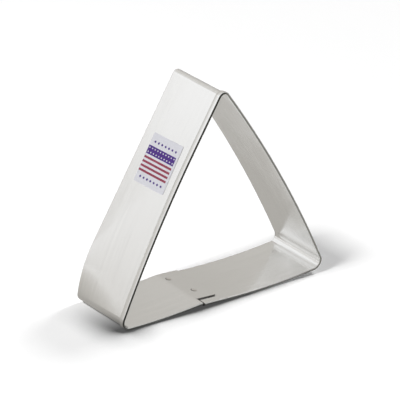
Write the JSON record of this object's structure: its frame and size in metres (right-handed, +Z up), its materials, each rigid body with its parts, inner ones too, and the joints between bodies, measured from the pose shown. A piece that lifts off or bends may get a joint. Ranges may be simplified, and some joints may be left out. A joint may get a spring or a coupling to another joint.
{
  "type": "cookie cutter",
  "caption": "Triangle cookie cutter: a hemmed tinplate strip bent to a rounded triangle, lapped and spot welded on its base, open on both faces, with a stuck-on label.",
  "frame": {"origin": "under the middle of the cutter, on the surface it stands on", "axes": "+X along the base to the right as seen from the hem, +Y from the hem to the cutting edge, +Z up to the apex"},
  "size_m": [0.099, 0.0254, 0.0857],
  "materials": {
    "tinplate": "bright tin plate with a fine rolling grain along the strip",
    "weld_metal": "dull, darkened by the heat of the weld",
    "adhesive": "clear pressure-sensitive coat",
    "label_paper": "coated paper, satin"
  },
  "bodies": {
    "root": {"cutter_strip": "tinplate", "spot_weld_front": "weld_metal", "spot_weld_rear": "weld_metal", "label_adhesive": "adhesive", "label_face": "label_paper"}
  },
  "joints": []
}
